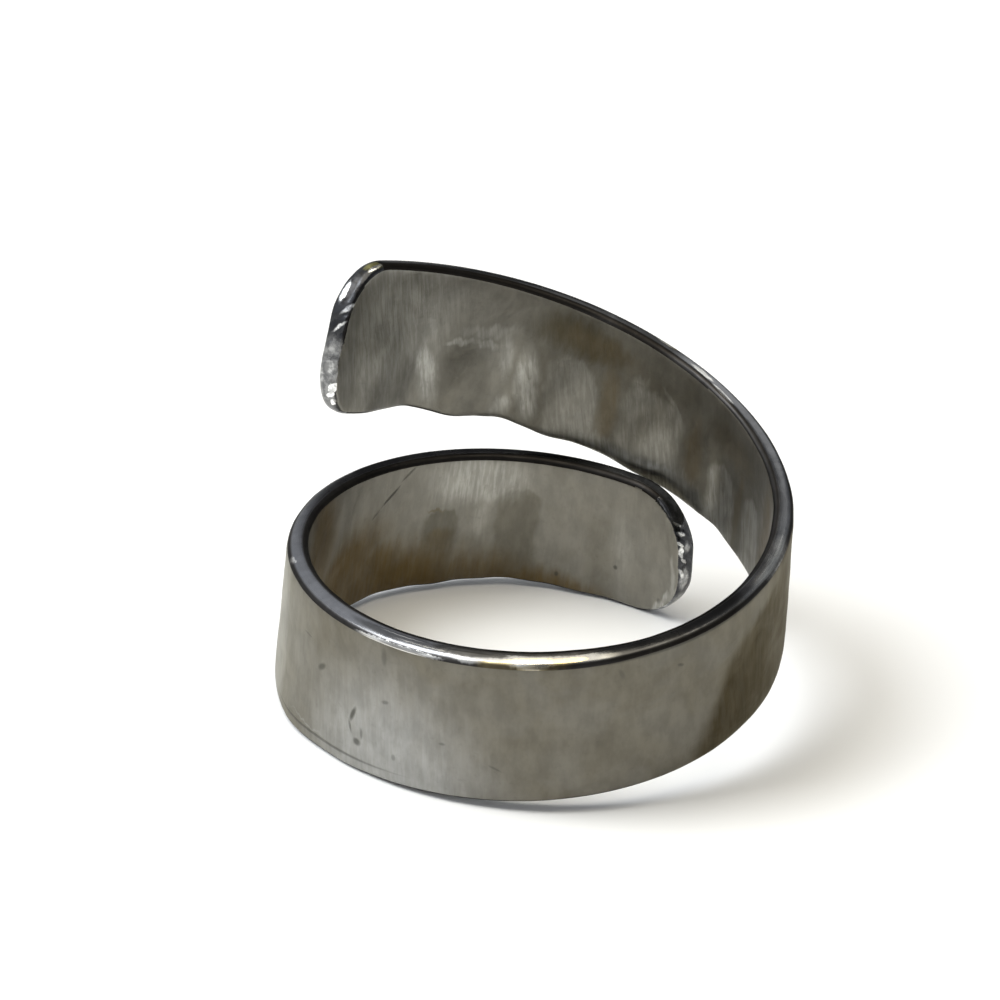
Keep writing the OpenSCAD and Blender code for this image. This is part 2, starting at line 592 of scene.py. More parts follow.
@dataclass(frozen=True)
class Mark:
    """One mark on a broad face of the strip, such as discolouring, a rubbed patch, one of the scratches, a
    painted highlight or painted shade.

    Attributes:
        kind: What the mark is.
        turn: Its place round the ring, in degrees from +X, from the low end on.
        height: Its place across the strip, in widths above the middle line.
        reach: Its half length along the strip, in degrees.
        spread: Its half height across the strip, in widths.
        strength: How strong it is at its middle.
        slant: How far it leans along the strip, in millimetres for each millimetre upwards.
        soft: The share of the mark over which it fades out.
        arch: Whether it runs on down to the foot of the strip, under a round top.
    """

    kind: MarkKind
    turn: float
    height: float
    reach: float
    spread: float
    strength: float
    slant: float = 0.0
    soft: float = 0.7
    arch: bool = False

    def laid(self, course: StripCourse) -> dict[str, float]:
        """Lays the mark out in its finish's plane.

        Args:
            course: The strip's course.

        Returns:
            The place and size of the mark's spot, in millimetres.
        """
        return {
            "Along": course.mm_along(self.turn),
            "Across": self.height * course.width / MM,
            "Reach": self.reach * course.mm_per_degree,
            "Spread": self.spread * course.width / MM,
            "Slant": self.slant,
            "Foot": 0.0 if self.arch else NO_FOOT,
        }


@dataclass(frozen=True)
class EdgeMark:
    """One mark on the rounded upper or lower edge of the strip: a painted highlight, glint or shade.

    Attributes:
        kind: What the mark is.
        turn: Its place round the ring, in degrees from +X, from the low end on.
        out: Its place through the strip, in millimetres out from the middle line.
        reach: Its half length along the strip, in degrees.
        spread: Its half width through the strip, in millimetres.
        strength: How strong it is at its middle.
        soft: The share of the mark over which it fades out.
        lower: Whether it lies on the lower edge.
    """

    kind: MarkKind
    turn: float
    out: float
    reach: float
    spread: float
    strength: float
    soft: float = 0.7
    lower: bool = False

    def laid(self, course: StripCourse) -> dict[str, float]:
        """Lays the mark out in its finish's plane.

        Args:
            course: The strip's course.

        Returns:
            The place and size of the mark's spot, in millimetres.
        """
        return {
            "Along": course.mm_along(self.turn),
            "Across": self.out - (PLANE_STEP if self.lower else 0.0),
            "Reach": self.reach * course.mm_per_degree,
            "Spread": self.spread,
        }


@dataclass(frozen=True)
class EndMark:
    """One mark on a cut end of the strip: a painted glint, reflection or shade.

    Attributes:
        kind: What the mark is.
        tip: The end that it is on.
        height: Its place across the strip, in widths above the middle line.
        out: Its place through the strip, in millimetres out from the middle line.
        reach: Its half width through the strip, in millimetres.
        spread: Its half height across the strip, in widths.
        strength: How strong it is at its middle.
        slant: How far it leans outwards, in millimetres for each millimetre upwards.
        soft: The share of the mark over which it fades out.
    """

    kind: MarkKind
    tip: Tip
    height: float
    out: float
    reach: float
    spread: float
    strength: float
    slant: float = 0.0
    soft: float = 0.7

    def laid(self, course: StripCourse) -> dict[str, float]:
        """Lays the mark out in its finish's plane.

        Args:
            course: The strip's course.

        Returns:
            The place and size of the mark's spot, in millimetres.
        """
        return {
            "Along": self.out + (PLANE_STEP if self.tip is Tip.HIGH else 0.0),
            "Across": self.height * course.width / MM,
            "Reach": self.reach,
            "Spread": self.spread * course.width / MM,
            "Slant": self.slant,
        }


# Colours of small things that all finishes share, of which the first is painted shade for the rims'
# corners, and the two tones between which brushing moves
CORNER_SHADE_COLOUR: Colour = (0.012, 0.01, 0.008)
FLECK_COLOUR: Colour = (0.07, 0.065, 0.055)
SCRATCH_AND_SHADE_COLOUR: Colour = (0.05, 0.05, 0.045)
TONES: tuple[Colour, Colour] = ((0.32, 0.32, 0.32), (0.72, 0.72, 0.72))
# Depth of the relief of the scratches and of the painted dark band, in millimetres
SCRATCH_DEPTH = 0.02


@dataclass(frozen=True)
class MetalFinish:
    """One finish of the ring's metal, with the marks on it; many of the marks paint highlights and shade.

    The place on the strip comes from the attribute strip_place, in millimetres along,
    across and through the strip.

    Attributes:
        name: The material's name.
        metal: Colour of the plain metal.
        pale: Colour of the metal where it is rubbed bright, and of the painted highlights.
        tarnish_and_shade: Colour of full staining, and of the painted shade.
        tint: Colour of the tint marks; on the rims and ends these paint highlights, on the inside they
            also paint shade in the dents.
        roughness: Middle value of the roughness.
        rough_spread: How much the clouds change the roughness.
        fineness: Fineness of the brushing.
        stroke_depth: Depth of the brushing's relief in millimetres.
        cloud_depth: Depth of the clouds' relief in millimetres.
        brushing: How strongly the brushing and blotches change the tone.
        blotches: The share of the blotches in that change.
        marks: The marks on the finish.
        plane: The measures of the strip that lay out the marks.
        stretch: How the brushing is drawn out along, across and through the strip.
        ragged: How far strokes shift the marks' outlines, in millimetres.
        waves: How far waves shift the marks' outlines, in millimetres.
        grain: Fineness of those strokes and waves.
        streaks: How much the brushing breaks up the rubbed marks and painted highlights.
        clouding: How much the clouds lighten the metal.
        lean: How far the brushing leans over near the raised end.
        corner_shade: How strongly shade is painted along the rims' two corners.
        glancing: Tint of the light that glances off at a low angle.
    """

    name: str
    metal: Colour
    pale: Colour
    tarnish_and_shade: Colour
    tint: Colour
    roughness: float
    rough_spread: float
    fineness: float
    stroke_depth: float
    cloud_depth: float
    brushing: float
    blotches: float
    marks: tuple[Mark | EdgeMark | EndMark, ...]
    plane: Plane = Plane.FACE
    stretch: Point = (1.0, 0.12, 1.0)
    ragged: float = 0.5
    waves: float = 0.6
    grain: float = 1.0
    streaks: float = 0.5
    clouding: float = 0.15
    lean: float = 0.0
    corner_shade: float = 0.0
    glancing: Colour = (1.0, 1.0, 1.0)

    def build(self, shared: SharedEffects, course: StripCourse) -> bpy.types.Material:
        """Builds the material.

        Args:
            shared: The node groups that all finishes use.
            course: The strip's course.

        Returns:
            The finished material.
        """
        material = bpy.data.materials.new(self.name)
        material.use_nodes = True
        net = NodeNet(material.node_tree)
        shader = material.node_tree.nodes["Principled BSDF"]
        shader.inputs["Metallic"].default_value = 1.0
        shader.inputs["Specular Tint"].default_value = (*self.glancing, 1)

        place = net.node("Attribute", attribute_name="strip_place").outputs["Vector"]
        brush_place = self.leaning(net, place, course)
        strokes = net.placed(
            shared.strokes, Place=brush_place, Fineness=self.fineness, Stretch=self.stretch
        )
        mottle = net.placed(shared.mottle, Place=place)
        masks = self.masks(net, shared, place, course)
        lines, cloud = strokes["Lines"], mottle["Clouds"]
        broken = net.plus(1 - self.streaks, net.times(lines, 1.3 * self.streaks))
        uneven = net.plus(0.8, net.times(net.plus(cloud, lines), 0.15))
        # Rubbed metal, and painted highlights
        worn_and_highlight = net.maths("MINIMUM", 1.0, net.times(masks[MarkKind.WORN_AND_HIGHLIGHT], broken))
        # Stains, and painted shade
        stain_and_shade = net.times(masks[MarkKind.TARNISH_AND_SHADE], uneven)
        # Tints, and painted highlights and shade
        tint_light_and_shade = net.times(masks[MarkKind.TINT_LIGHT_AND_SHADE], uneven)
        # Scratches, and a painted dark band of shade
        scratch = masks[MarkKind.SCRATCH_AND_SHADE_LINE]
        # Painted shade along the rims' corners
        corner_shade = self.corner_shade_mask(net, place, worn_and_highlight)

        colour = net.blend(net.times(cloud, self.clouding), self.metal, self.pale)
        # Paints tints, highlights and shade
        colour = net.blend(tint_light_and_shade, colour, self.tint)
        # Paints stains and shade
        colour = net.blend(net.maths("MINIMUM", 1.0, stain_and_shade), colour, self.tarnish_and_shade)
        # Paints rubbed metal and highlights
        colour = net.blend(worn_and_highlight, colour, self.pale)
        # Paints the corners' shade near-black
        colour = net.blend(corner_shade, colour, CORNER_SHADE_COLOUR)
        stroke_tone = net.times(strokes["Tone"], 1 - self.blotches)
        tone = net.plus(stroke_tone, net.times(mottle["Blotches"], self.blotches))
        colour = net.blend(self.brushing, colour, net.blend(tone, *TONES), "OVERLAY")
        colour = net.blend(net.times(mottle["Flecks"], 0.12), colour, FLECK_COLOUR)
        # Paints scratches and the dark band of shade
        colour = net.blend(net.times(scratch, 0.8), colour, SCRATCH_AND_SHADE_COLOUR)
        net.feed(shader.inputs["Base Color"], colour)

        rough = net.plus(self.roughness - self.rough_spread / 2, net.times(cloud, self.rough_spread))
        rough = net.plus(rough, net.times(stain_and_shade, 0.06))
        rough = net.plus(rough, net.times(corner_shade, 0.25))
        rough = net.minus(rough, net.times(worn_and_highlight, 0.06))
        net.feed(shader.inputs["Roughness"], rough)

        height = net.times(strokes["Height"], self.stroke_depth)
        height = net.plus(height, net.times(cloud, self.cloud_depth))
        height = net.minus(height, net.times(scratch, SCRATCH_DEPTH))
        bump = net.node("Bump", Strength=1.0, Distance=MM, Height=height)
        net.feed(shader.inputs["Normal"], bump.outputs[0])
        return material

    def masks(
        self, net: NodeNet, shared: SharedEffects, place: Socket, course: StripCourse
    ) -> dict[MarkKind, object]:
        """Draws the finish's marks; all but the scratches get ragged outlines.

        Args:
            net: The material's node tree.
            shared: The shared node groups.
            place: The place on the strip, in millimetres.
            course: The strip's course.

        Returns:
            For each kind the socket of the strongest mark at each point, or 0 without any.
        """
        flat = self.laid_flat(net, place, course)
        ragged = net.placed(
            shared.ragged, Place=flat, Strokes=self.ragged, Waves=self.waves, Grain=self.grain
        )["Place"]
        strongest: dict[MarkKind, object] = {kind: 0.0 for kind in MarkKind}
        for mark in self.marks:
            spot = net.placed(
                shared.mark,
                Place=flat if mark.kind is MarkKind.SCRATCH_AND_SHADE_LINE else ragged,
                Softness=1 - mark.soft,
                Strength=mark.strength,
                **mark.laid(course),
            )
            strongest[mark.kind] = net.maths("MAXIMUM", strongest[mark.kind], spot["Mask"])
        return strongest

    def corner_shade_mask(self, net: NodeNet, place: Socket, worn_and_highlight: Socket) -> object:
        """Paints shade along the two corners of a rim.

        Args:
            net: The material's node tree.
            place: The place on the strip, in millimetres.
            worn_and_highlight: The mask of the rubbed marks and painted highlights, which are free of the
                painted shade.

        Returns:
            The painted shade's socket, or 0 for a finish without it.
        """
        if not self.corner_shade:
            return 0.0
        through = net.parts(place)["Z"]
        corners = net.maths("MAXIMUM", net.ramp(through, -0.1, -0.2), net.ramp(through, 0.2, 0.3))
        return net.times(net.times(corners, net.minus(1.0, worn_and_highlight)), self.corner_shade)

    def leaning(self, net: NodeNet, place: Socket, course: StripCourse) -> Socket:
        """Lets the brushing lean over towards the raised end, on the raised turn.

        Args:
            net: The material's node tree.
            place: The place on the strip, in millimetres.
            course: The strip's course.

        Returns:
            The socket of the place with its measure along the strip shifted.
        """
        parts = net.parts(place)
        half = course.length / MM / 2
        share = net.ramp(parts["X"], half, 1.8 * half, 0.0, self.lean)
        return net.vector(net.minus(parts["X"], net.times(parts["Y"], share)), parts["Y"], parts["Z"])

    def laid_flat(self, net: NodeNet, place: Socket, course: StripCourse) -> Socket:
        """Lays the strip's measures out in the plane of the finish's marks.

        Args:
            net: The material's node tree.
            place: The place on the strip, in millimetres.
            course: The strip's course.

        Returns:
            The socket of the place in the plane.
        """
        if self.plane is Plane.FACE:
            return place
        parts = net.parts(place)
        if self.plane is Plane.EDGE:
            lower = net.times(net.maths("LESS_THAN", parts["Y"], 0.0), PLANE_STEP)
            return net.vector(parts["X"], net.minus(parts["Z"], lower), 0.0)
        half = course.length / MM / 2
        high = net.times(net.maths("GREATER_THAN", parts["X"], half), PLANE_STEP)
        return net.vector(net.plus(parts["Z"], high), parts["Y"], 0.0)


TARNISH_AND_SHADE, TINT_LIGHT_AND_SHADE, WORN_AND_HIGHLIGHT, SCRATCH_AND_SHADE_LINE = MarkKind
LOW, HIGH = Tip

INSIDE = MetalFinish(
    name="band_inside", metal=(0.184, 0.175, 0.15), pale=(0.38, 0.376, 0.348),
    tarnish_and_shade=(0.118, 0.084, 0.036), tint=(0.092, 0.084, 0.062), roughness=0.4, rough_spread=0.1,
    fineness=7.0, stroke_depth=0.012, cloud_depth=0.01, ragged=0.8, streaks=0.45, brushing=0.5,
    blotches=0.5, lean=0.4,
    marks=(
        # The raised turn: kind, turn, height, reach, spread and strength
        Mark(TINT_LIGHT_AND_SHADE, 414, 0.0, 50, 1.3, 0.48, soft=0.3),
        Mark(TINT_LIGHT_AND_SHADE, 443, 0.28, 23, 0.25, 1.0, soft=0.8),
        Mark(TARNISH_AND_SHADE, 440, 0.28, 17, 0.16, 0.4, soft=0.8),
        Mark(TARNISH_AND_SHADE, 392, 0.25, 14, 0.2, 0.3, soft=0.7),
        Mark(TARNISH_AND_SHADE, 431.5, -0.1, 3.4, 0.5, 0.4, slant=0.15),
        Mark(TARNISH_AND_SHADE, 406, -0.1, 3.8, 0.45, 0.45, slant=0.1),
        Mark(TARNISH_AND_SHADE, 387.5, -0.1, 2.2, 0.4, 0.4),
        Mark(TARNISH_AND_SHADE, 368, 0, 8, 0.7, 0.7),
        # Painted shade in a dent's hollow
        Mark(TINT_LIGHT_AND_SHADE, 468.5, -0.16, 8, 0.18, 0.27, slant=0.3, arch=True, soft=0.3),
        Mark(WORN_AND_HIGHLIGHT, 494, 0.1, 25, 0.9, 0.85, soft=1),
        Mark(WORN_AND_HIGHLIGHT, 505, 0.26, 3, 0.1, 0.3),
        # Bright marks on the dents: rubbed metal and painted highlights
        Mark(WORN_AND_HIGHLIGHT, 479, -0.2, 4.8, 0.32, 1.0, slant=0.45, soft=0.8),
        Mark(WORN_AND_HIGHLIGHT, 476, -0.32, 2.6, 0.14, 0.5, slant=0.45),
        Mark(WORN_AND_HIGHLIGHT, 472.5, 0.02, 4.5, 0.045, 0.7, slant=-1.8),
        Mark(WORN_AND_HIGHLIGHT, 465.5, 0.06, 4.5, 0.05, 0.65),
        Mark(WORN_AND_HIGHLIGHT, 466, 0.14, 6, 0.1, 0.4, slant=-2),
        Mark(WORN_AND_HIGHLIGHT, 459.5, 0.0, 3.2, 0.25, 0.5, slant=0.3, soft=0.8),
        Mark(WORN_AND_HIGHLIGHT, 452, -0.15, 4.2, 0.34, 0.95, slant=0.24, soft=0.8),
        Mark(WORN_AND_HIGHLIGHT, 456, -0.36, 3.2, 0.12, 0.5),
        Mark(WORN_AND_HIGHLIGHT, 442, -0.04, 7.5, 0.19, 0.3, slant=0.2, arch=True, soft=0.25),
        Mark(WORN_AND_HIGHLIGHT, 419.5, 0.02, 10, 0.2, 0.38, slant=0.1, arch=True, soft=0.3),
        Mark(WORN_AND_HIGHLIGHT, 425.3, 0.17, 3, 0.1, 0.5),
        Mark(WORN_AND_HIGHLIGHT, 415.5, 0.18, 1.4, 0.15, 0.35, slant=0.95),
        # Painted light along the foot
        Mark(WORN_AND_HIGHLIGHT, 410, -0.46, 17, 0.24, 1.0, soft=0.6),
        Mark(WORN_AND_HIGHLIGHT, 430, -0.46, 12, 0.16, 0.6),
        # Painted highlights on the dents
        Mark(WORN_AND_HIGHLIGHT, 395, -0.12, 6.4, 0.17, 0.6, slant=0.1, arch=True, soft=0.3),
        Mark(WORN_AND_HIGHLIGHT, 380, -0.06, 5.8, 0.19, 0.58, arch=True, soft=0.35),
        Mark(WORN_AND_HIGHLIGHT, 377, -0.3, 3, 0.15, 0.6),
        # The low turn
        Mark(TARNISH_AND_SHADE, 132, -0.5, 42, 0.5, 1.0),
        Mark(TARNISH_AND_SHADE, 105, -0.5, 26, 0.34, 0.75),
        Mark(TARNISH_AND_SHADE, 134, -0.26, 15, 0.3, 0.9),
        Mark(TARNISH_AND_SHADE, 118, -0.25, 12, 0.2, 0.4),
        Mark(TARNISH_AND_SHADE, 148, -0.2, 20, 0.45, 0.95, slant=-0.5),
        Mark(TARNISH_AND_SHADE, 84, -0.52, 24, 0.22, 0.95),
        Mark(TARNISH_AND_SHADE, 164, 0.15, 14, 0.6, 0.9),
        # Arches: painted shade in the dents
        Mark(TINT_LIGHT_AND_SHADE, 93.3, 0.16, 7, 0.1, 0.5, arch=True, soft=0.3),
        Mark(TINT_LIGHT_AND_SHADE, 115, 0.02, 6.2, 0.09, 0.55, arch=True, soft=0.35),
        Mark(TARNISH_AND_SHADE, 115, -0.12, 6, 0.12, 0.4, arch=True),
        Mark(TARNISH_AND_SHADE, 117, 0.1, 4, 0.02, 0.4, slant=1.0),
        Mark(TINT_LIGHT_AND_SHADE, 69, 0.08, 6, 0.14, 0.28, arch=True, soft=0.6),
        Mark(WORN_AND_HIGHLIGHT, 106, 0.32, 20, 0.26, 0.68),
        Mark(WORN_AND_HIGHLIGHT, 103.5, 0.02, 3.5, 0.25, 0.3),
        Mark(WORN_AND_HIGHLIGHT, 64, -0.1, 4.5, 0.4, 0.15),
        Mark(WORN_AND_HIGHLIGHT, 49.3, -0.31, 1.6, 0.22, 0.9, slant=-0.6),
        Mark(WORN_AND_HIGHLIGHT, 47.0, -0.1, 1.0, 0.24, 0.6),
        Mark(SCRATCH_AND_SHADE_LINE, 51, -0.33, 0.9, 0.03, 0.5),
        Mark(SCRATCH_AND_SHADE_LINE, 127, 0.42, 0.7, 0.06, 0.6, slant=-1.1),
        Mark(SCRATCH_AND_SHADE_LINE, 132, 0.28, 0.8, 0.08, 0.9, slant=-1.1),
        Mark(SCRATCH_AND_SHADE_LINE, 136.5, 0.17, 0.7, 0.04, 0.5, slant=-1.1),
        Mark(SCRATCH_AND_SHADE_LINE, 65, -0.21, 0.8, 0.025, 0.8),
        Mark(SCRATCH_AND_SHADE_LINE, 81, -0.38, 0.8, 0.03, 0.8),
    ),
)
OUTSIDE = MetalFinish(
    name="band_outside", metal=(0.132, 0.122, 0.098), pale=(0.265, 0.265, 0.255),
    tarnish_and_shade=(0.038, 0.026, 0.007), tint=(0.1, 0.092, 0.074), roughness=0.42, rough_spread=0.08,
    fineness=6.0, stroke_depth=0.006, cloud_depth=0.01, streaks=0.15, brushing=0.4, blotches=0.7,
    glancing=(0.82, 0.8, 0.73),
    marks=(
        # Kind, turn, height, reach, spread and strength
        # Painted shade over the right side
        Mark(TARNISH_AND_SHADE, 345, -0.03, 32, 0.5, 0.8, slant=0.39, soft=0.22, arch=True),
        Mark(TARNISH_AND_SHADE, 362, 0.0, 36, 0.9, 1.0, soft=0.5),
        # Painted light over the left side
        Mark(WORN_AND_HIGHLIGHT, 236, -0.4, 36, 0.9, 1.0, soft=0.8),
        Mark(WORN_AND_HIGHLIGHT, 200, 0.0, 25, 0.9, 0.4, soft=0.8),
        Mark(WORN_AND_HIGHLIGHT, 189, 0.0, 16, 1.2, 1.0, soft=0.8),
        Mark(TINT_LIGHT_AND_SHADE, 286, -0.1, 8, 0.1, 0.6, soft=1),
        # Painted shade: a dark band along the top, under the rim
        Mark(SCRATCH_AND_SHADE_LINE, 300, 0.49, 50, 0.045, 0.7, soft=0.4),
        Mark(SCRATCH_AND_SHADE_LINE, 217.8, 0.08, 1.5, 0.045, 0.85, slant=0.8),
        Mark(SCRATCH_AND_SHADE_LINE, 211.5, 0.22, 2.4, 0.012, 0.4),
        Mark(SCRATCH_AND_SHADE_LINE, 228.7, -0.11, 0.9, 0.075, 1.0, slant=0.4),
        Mark(SCRATCH_AND_SHADE_LINE, 227.8, -0.2, 0.5, 0.06, 0.7, slant=-0.2),
        Mark(SCRATCH_AND_SHADE_LINE, 229.8, -0.29, 1.5, 0.035, 0.9),
        Mark(SCRATCH_AND_SHADE_LINE, 231.2, -0.22, 0.5, 0.05, 0.6),
        Mark(SCRATCH_AND_SHADE_LINE, 238, 0.37, 1.1, 0.08, 0.5),
        Mark(SCRATCH_AND_SHADE_LINE, 238, 0.06, 1.2, 0.02, 0.55, slant=0.6),
        Mark(SCRATCH_AND_SHADE_LINE, 240, -0.3, 0.7, 0.03, 0.5),
        Mark(SCRATCH_AND_SHADE_LINE, 252, -0.12, 1, 0.014, 0.5),
        Mark(SCRATCH_AND_SHADE_LINE, 263.7, -0.25, 0.8, 0.03, 0.4, slant=-1.5),
        Mark(SCRATCH_AND_SHADE_LINE, 305.5, 0.31, 0.9, 0.02, 0.6, slant=-0.8),
        Mark(SCRATCH_AND_SHADE_LINE, 291.5, 0.37, 0.8, 0.05, 0.4, slant=-0.3),
        Mark(SCRATCH_AND_SHADE_LINE, 218, -0.41, 30, 0.014, 0.7),
        Mark(WORN_AND_HIGHLIGHT, 222, -0.375, 28, 0.016, 0.8),
        Mark(WORN_AND_HIGHLIGHT, 230, -0.46, 18, 0.025, 0.6),
    ),
)
# The rims: their marks paint highlights, glints and shade, shade is painted along both corners, and the
# tint is the colour of a painted yellow highlight
EDGE = MetalFinish(
    name="band_edge", metal=(0.205, 0.207, 0.213), pale=(0.85, 0.83, 0.77),
    tarnish_and_shade=(0.035, 0.034, 0.032), tint=(0.82, 0.68, 0.38), roughness=0.2, rough_spread=0.1,
    fineness=3.0, stroke_depth=0.01, cloud_depth=0.01, plane=Plane.EDGE, stretch=(0.12, 2.5, 2.5),
    ragged=0.1, waves=0.08, grain=2.0, clouding=0.03, brushing=0.6, blotches=0.4, corner_shade=0.9,
    glancing=(0.5, 0.5, 0.5),
    marks=(
        # The upper edge in front: kind, turn, out, reach, spread and strength
        EdgeMark(WORN_AND_HIGHLIGHT, 194, 0.28, 2.2, 0.1, 0.8),
        EdgeMark(WORN_AND_HIGHLIGHT, 195.5, 0.2, 0.8, 0.06, 0.6),
        EdgeMark(WORN_AND_HIGHLIGHT, 241, 0.345, 13, 0.07, 1.0, soft=0.3),
        EdgeMark(WORN_AND_HIGHLIGHT, 246, 0.1, 9, 0.03, 0.45),
        EdgeMark(WORN_AND_HIGHLIGHT, 241, -0.03, 8, 0.025, 0.4),
        EdgeMark(TARNISH_AND_SHADE, 243, 0.05, 19, 0.22, 0.7, soft=0.4),
        EdgeMark(TARNISH_AND_SHADE, 257, -0.02, 11, 0.22, 0.95, soft=0.4),
        EdgeMark(WORN_AND_HIGHLIGHT, 258, 0.28, 4, 0.08, 0.5),
        EdgeMark(TINT_LIGHT_AND_SHADE, 265, 0.31, 6, 0.14, 0.9, soft=0.5),
        EdgeMark(TARNISH_AND_SHADE, 263, -0.03, 5, 0.17, 1.0, soft=0.4),
        EdgeMark(TARNISH_AND_SHADE, 279, -0.2, 22, 0.21, 1.0, soft=0.3),
        EdgeMark(TINT_LIGHT_AND_SHADE, 273, 0.24, 9, 0.24, 1.0, soft=0.4),
        EdgeMark(WORN_AND_HIGHLIGHT, 272, 0.26, 6, 0.14, 0.9, soft=0.6),
        EdgeMark(TINT_LIGHT_AND_SHADE, 281, 0.14, 4, 0.12, 0.9, soft=0.5),
        EdgeMark(WORN_AND_HIGHLIGHT, 289, 0.16, 3.5, 0.14, 0.12),
        EdgeMark(TARNISH_AND_SHADE, 307, 0.0, 22, 0.8, 0.85, soft=0.25),
        # The upper edge of the raised turn and the low turn's back
        EdgeMark(TINT_LIGHT_AND_SHADE, 423, 0.16, 2.8, 0.12, 0.9, soft=0.4),
        EdgeMark(WORN_AND_HIGHLIGHT, 424, 0.15, 3.0, 0.08, 1.0, soft=0.4),
        EdgeMark(WORN_AND_HIGHLIGHT, 411.5, -0.02, 4.5, 0.12, 1.0, soft=0.4),
        EdgeMark(WORN_AND_HIGHLIGHT, 403, -0.14, 5, 0.09, 1.0, soft=0.4),
        EdgeMark(WORN_AND_HIGHLIGHT, 341, 0.12, 12, 0.34, 0.75, soft=0.6),
        EdgeMark(TARNISH_AND_SHADE, 380, 0.05, 27, 0.5, 0.32, soft=0.4),
        EdgeMark(TARNISH_AND_SHADE, 429, 0.0, 14, 0.8, 0.85, soft=0.5),
        EdgeMark(TARNISH_AND_SHADE, 474, 0.0, 46, 0.8, 0.9, soft=0.35),
        EdgeMark(TARNISH_AND_SHADE, 488, 0.0, 14, 0.8, 0.95),
        EdgeMark(TARNISH_AND_SHADE, 100, 0.0, 74, 0.8, 0.62, soft=0.35),
        EdgeMark(TARNISH_AND_SHADE, 84, 0.0, 26, 0.8, 0.85),
        # The lower edge
        EdgeMark(WORN_AND_HIGHLIGHT, 220, 0.1, 40, 0.4, 0.5, lower=True),
        EdgeMark(TARNISH_AND_SHADE, 285, 0.0, 30, 0.6, 0.5, lower=True),
        EdgeMark(TARNISH_AND_SHADE, 108, 0.0, 62, 0.8, 0.9, lower=True),
    ),
)
# The cut ends: the dark metal and the marks paint their reflections, glints and shade, and the tint is the
# colour of a painted yellow glint
END = MetalFinish(
    name="band_end", metal=(0.034, 0.035, 0.038), pale=(0.88, 0.88, 0.86),
    tarnish_and_shade=(0.012, 0.011, 0.01), tint=(0.5, 0.46, 0.18), roughness=0.26, rough_spread=0.1,
    fineness=4.0, stroke_depth=0.02, cloud_depth=0.03, plane=Plane.END, stretch=(1.0, 1.0, 1.0),
    ragged=0.12, waves=0.16, grain=4.0, clouding=0.02, brushing=0.5, blotches=0.5,
    marks=(
        # The raised end: kind, tip, height, out, reach, spread and strength
        EndMark(TINT_LIGHT_AND_SHADE, HIGH, 0.475, -0.05, 0.3, 0.035, 0.8),
        EndMark(WORN_AND_HIGHLIGHT, HIGH, 0.468, -0.2, 0.1, 0.03, 1.0, soft=0.4),
        EndMark(TARNISH_AND_SHADE, HIGH, 0.34, 0.02, 0.24, 0.13, 0.8, soft=0.4),
        EndMark(TARNISH_AND_SHADE, HIGH, 0.0, -0.38, 0.1, 0.5, 0.9, soft=0.3),
        EndMark(WORN_AND_HIGHLIGHT, HIGH, 0.305, 0.19, 0.16, 0.08, 1.0, soft=0.7),
        EndMark(WORN_AND_HIGHLIGHT, HIGH, 0.217, -0.2, 0.13, 0.048, 1.0, slant=-0.83, soft=0.7),
        EndMark(WORN_AND_HIGHLIGHT, HIGH, 0.1, -0.1, 0.11, 0.055, 1.0, slant=-0.86, soft=0.7),
        EndMark(WORN_AND_HIGHLIGHT, HIGH, -0.2, 0.0, 0.8, 0.27, 0.2, soft=0.3),
        EndMark(WORN_AND_HIGHLIGHT, HIGH, -0.06, 0.0, 0.3, 0.05, 0.3),
        EndMark(WORN_AND_HIGHLIGHT, HIGH, -0.17, 0.0, 0.35, 0.09, 0.4),
        EndMark(WORN_AND_HIGHLIGHT, HIGH, -0.27, 0.3, 0.16, 0.16, 0.35),
        EndMark(TARNISH_AND_SHADE, HIGH, -0.255, -0.2, 0.2, 0.02, 0.9),
        EndMark(WORN_AND_HIGHLIGHT, HIGH, -0.3, -0.22, 0.2, 0.045, 1.0, slant=-0.6, soft=0.3),
        EndMark(WORN_AND_HIGHLIGHT, HIGH, -0.355, -0.12, 0.14, 0.035, 1.0, slant=-0.8, soft=0.3),
        EndMark(WORN_AND_HIGHLIGHT, HIGH, -0.4, -0.22, 0.12, 0.03, 0.9, slant=-0.5, soft=0.3),
        # The low end
        EndMark(WORN_AND_HIGHLIGHT, LOW, 0.42, 0.0, 0.6, 0.16, 0.1, soft=0.3),
        EndMark(WORN_AND_HIGHLIGHT, LOW, 0.31, -0.2, 0.1, 0.03, 0.7, slant=-0.8, soft=0.5),
        EndMark(WORN_AND_HIGHLIGHT, LOW, 0.25, -0.15, 0.12, 0.03, 0.6, slant=-0.8, soft=0.5),
        EndMark(WORN_AND_HIGHLIGHT, LOW, 0.19, -0.3, 0.1, 0.03, 0.9, slant=-0.8, soft=0.4),
        EndMark(WORN_AND_HIGHLIGHT, LOW, 0.13, -0.28, 0.12, 0.055, 1.0, soft=0.4),
        EndMark(WORN_AND_HIGHLIGHT, LOW, 0.06, -0.2, 0.1, 0.03, 0.9, slant=-0.8, soft=0.4),
        EndMark(WORN_AND_HIGHLIGHT, LOW, 0.15, 0.0, 0.2, 0.05, 0.35),
        EndMark(WORN_AND_HIGHLIGHT, LOW, -0.04, -0.25, 0.1, 0.05, 0.9, slant=-0.4, soft=0.4),
        EndMark(WORN_AND_HIGHLIGHT, LOW, -0.1, -0.1, 0.3, 0.12, 0.5),
        EndMark(WORN_AND_HIGHLIGHT, LOW, -0.36, -0.1, 0.5, 0.18, 0.55),
    ),
)


